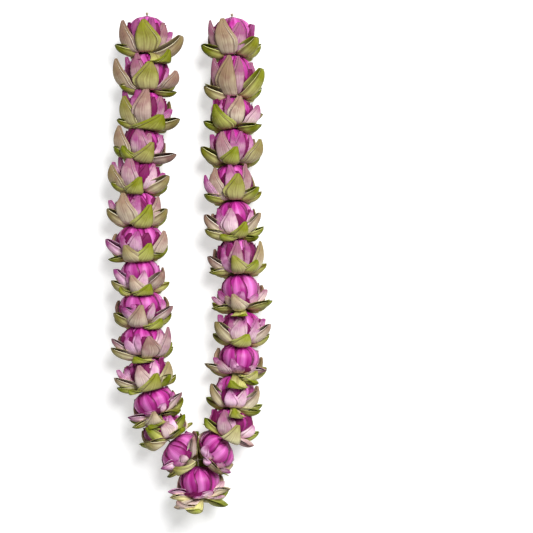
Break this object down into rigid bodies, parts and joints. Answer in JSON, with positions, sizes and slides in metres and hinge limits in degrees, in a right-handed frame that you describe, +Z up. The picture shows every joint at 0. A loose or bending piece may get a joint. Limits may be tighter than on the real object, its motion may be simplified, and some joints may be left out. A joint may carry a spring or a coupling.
{
  "type": "lotus flower garland",
  "caption": "Garland of folded lotus buds threaded tip up in two strands that meet in a V above a pendant bloom, laid flat.",
  "frame": {"origin": "under the middle of the garland's box, on the surface that it lies on", "axes": "+Y from the pendant towards the top of the strands, +X to the right as seen from above, +Z up from the surface"},
  "size_m": [0.1792, 0.5404, 0.066],
  "materials": {
    "lotus_pink": "waxy petal, magenta dome with paler folded petals round its foot",
    "petal_green": "waxy petal, cream to lime with a pink cast and fine veins",
    "cotton": "matte twisted cotton thread"
  },
  "bodies": {
    "root": {"left_01_pink_bud": "lotus_pink", "left_01_green_petals": "petal_green", "left_02_pink_bud": "lotus_pink", "left_02_green_petals": "petal_green", "left_03_pink_bud": "lotus_pink", "left_03_green_petals": "petal_green", "left_04_pink_bud": "lotus_pink", "left_04_green_petals": "petal_green", "left_05_pink_bud": "lotus_pink", "left_05_green_petals": "petal_green", "left_06_pink_bud": "lotus_pink", "left_06_green_petals": "petal_green", "left_07_pink_bud": "lotus_pink", "left_07_green_petals": "petal_green", "left_08_pink_bud": "lotus_pink", "left_08_green_petals": "petal_green", "left_09_pink_bud": "lotus_pink", "left_09_green_petals": "petal_green", "left_10_pink_bud": "lotus_pink", "left_10_green_petals": "petal_green", "left_11_pink_bud": "lotus_pink", "left_11_green_petals": "petal_green", "left_12_pink_bud": "lotus_pink", "left_12_green_petals": "petal_green", "left_13_pink_bud": "lotus_pink", "left_13_green_petals": "petal_green", "left_14_pink_bud": "lotus_pink", "left_14_green_petals": "petal_green", "right_01_pink_bud": "lotus_pink", "right_01_green_petals": "petal_green", "right_02_pink_bud": "lotus_pink", "right_02_green_petals": "petal_green", "right_03_pink_bud": "lotus_pink", "right_03_green_petals": "petal_green", "right_04_pink_bud": "lotus_pink", "right_04_green_petals": "petal_green", "right_05_pink_bud": "lotus_pink", "right_05_green_petals": "petal_green", "right_06_pink_bud": "lotus_pink", "right_06_green_petals": "petal_green", "right_07_pink_bud": "lotus_pink", "right_07_green_petals": "petal_green", "right_08_pink_bud": "lotus_pink", "right_08_green_petals": "petal_green", "right_09_pink_bud": "lotus_pink", "right_09_green_petals": "petal_green", "right_10_pink_bud": "lotus_pink", "right_10_green_petals": "petal_green", "right_11_pink_bud": "lotus_pink", "right_11_green_petals": "petal_green", "right_12_pink_bud": "lotus_pink", "right_12_green_petals": "petal_green", "right_13_pink_bud": "lotus_pink", "right_13_green_petals": "petal_green", "pendant_pink_bud": "lotus_pink", "pendant_green_petals": "petal_green", "neck_thread": "cotton", "pendant_thread": "cotton"}
  },
  "joints": []
}
